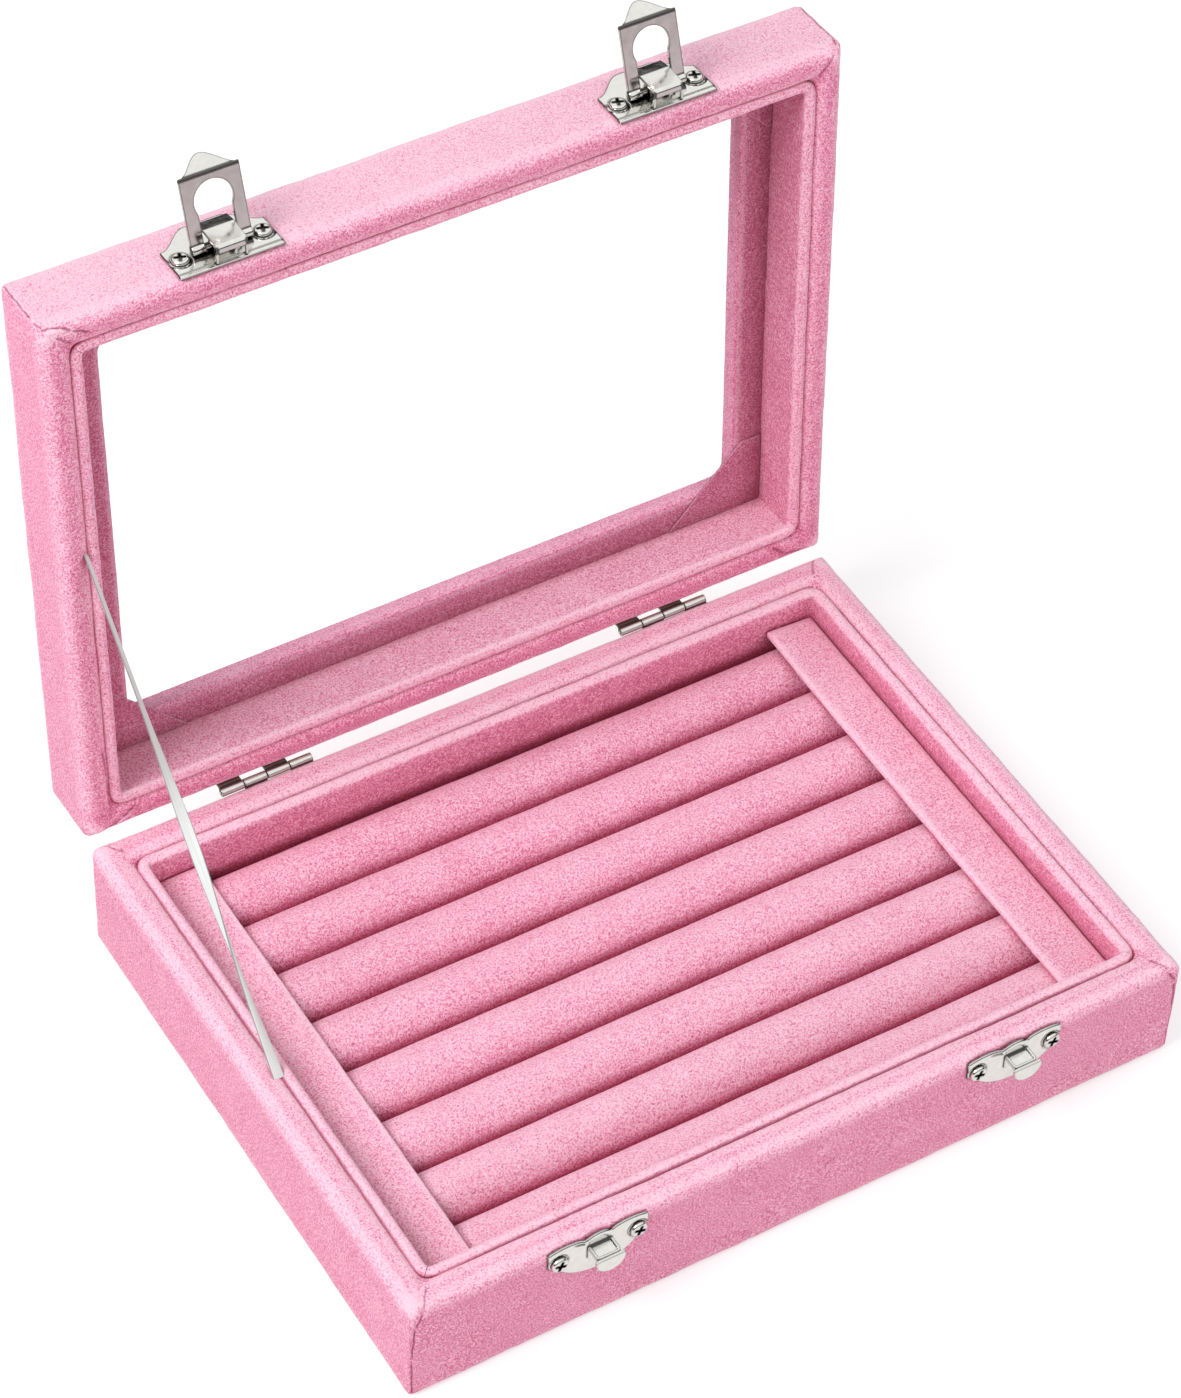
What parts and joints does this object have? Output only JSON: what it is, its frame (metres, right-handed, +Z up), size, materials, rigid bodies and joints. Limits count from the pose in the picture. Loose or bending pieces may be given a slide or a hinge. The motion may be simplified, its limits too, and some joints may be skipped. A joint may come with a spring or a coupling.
{
  "type": "jewelry box",
  "caption": "Shallow velvet-covered ring box with padded ring rolls, a glazed lid held open by a ribbon stay, back hinges and spring hasp latches.",
  "frame": {"origin": "centre of the flat underside of the base", "axes": "+X along the hinge line, to the right as seen from the latched front, +Y from the latched front to the hinged back, +Z up"},
  "size_m": [0.2, 0.1854, 0.1996],
  "materials": {
    "velvet_walls": "pink velvet over wooden walls",
    "velvet_inserts": "pink velvet over card and foam",
    "card": "covered card",
    "window_glass": "clear float glass",
    "polished_nickel": "polished nickel plate",
    "satin_ribbon": "white satin"
  },
  "bodies": {
    "base": {"base_frame": "velvet_walls", "bottom_board": "card", "tray_card": "card", "base_liner_front": "velvet_inserts", "base_liner_right": "velvet_inserts", "base_liner_back": "velvet_inserts", "base_liner_left": "velvet_inserts", "ring_roll_1": "velvet_inserts", "ring_roll_2": "velvet_inserts", "ring_roll_3": "velvet_inserts", "ring_roll_4": "velvet_inserts", "ring_roll_5": "velvet_inserts", "ring_roll_6": "velvet_inserts", "ring_roll_7": "velvet_inserts", "ring_roll_8": "velvet_inserts", "end_board_left": "velvet_inserts", "end_board_right": "velvet_inserts", "hinge_base_leaf_left": "polished_nickel", "hinge_base_leaf_right": "polished_nickel", "hinge_pin_left": "polished_nickel", "hinge_pin_right": "polished_nickel", "base_hinge_nail_1": "polished_nickel", "base_hinge_nail_2": "polished_nickel", "base_hinge_nail_3": "polished_nickel", "base_hinge_nail_4": "polished_nickel", "catch_plate_left": "polished_nickel", "catch_plate_right": "polished_nickel", "catch_screw_1": "polished_nickel", "catch_screw_2": "polished_nickel", "catch_screw_3": "polished_nickel", "catch_screw_4": "polished_nickel", "ribbon_stay": "satin_ribbon"},
    "lid": {"lid_frame": "velvet_walls", "glass_pane": "window_glass", "window_frame": "velvet_inserts", "corner_gusset_1": "velvet_inserts", "corner_gusset_2": "velvet_inserts", "corner_gusset_3": "velvet_inserts", "corner_gusset_4": "velvet_inserts", "lid_liner_front": "velvet_inserts", "lid_liner_right": "velvet_inserts", "lid_liner_back": "velvet_inserts", "lid_liner_left": "velvet_inserts", "hinge_lid_leaf_left": "polished_nickel", "hinge_lid_leaf_right": "polished_nickel", "lid_hinge_nail_1": "polished_nickel", "lid_hinge_nail_2": "polished_nickel", "lid_hinge_nail_3": "polished_nickel", "lid_hinge_nail_4": "polished_nickel", "latch_plate_left": "polished_nickel", "latch_plate_right": "polished_nickel", "latch_screw_1": "polished_nickel", "latch_screw_2": "polished_nickel", "latch_screw_3": "polished_nickel", "latch_screw_4": "polished_nickel"},
    "hasp_left": {"hasp_left": "polished_nickel"},
    "hasp_right": {"hasp_right": "polished_nickel"}
  },
  "joints": [
    {"name": "lid_swing", "type": "hinge", "parent": "base", "child": "lid", "pos_m": [0, 0.0761, 0.03015], "axis": [1, 0, 0], "range_deg": [0, 93.4], "deforming": ["ribbon_stay"]},
    {"name": "hasp_left_swing", "type": "hinge", "parent": "lid", "child": "hasp_left", "pos_m": [-0.054, 0.09133, 0.18272], "axis": [1, 0, 0], "range_deg": [-60, 106]},
    {"name": "hasp_right_swing", "type": "hinge", "parent": "lid", "child": "hasp_right", "pos_m": [0.054, 0.09133, 0.18272], "axis": [1, 0, 0], "range_deg": [-60, 106]}
  ]
}
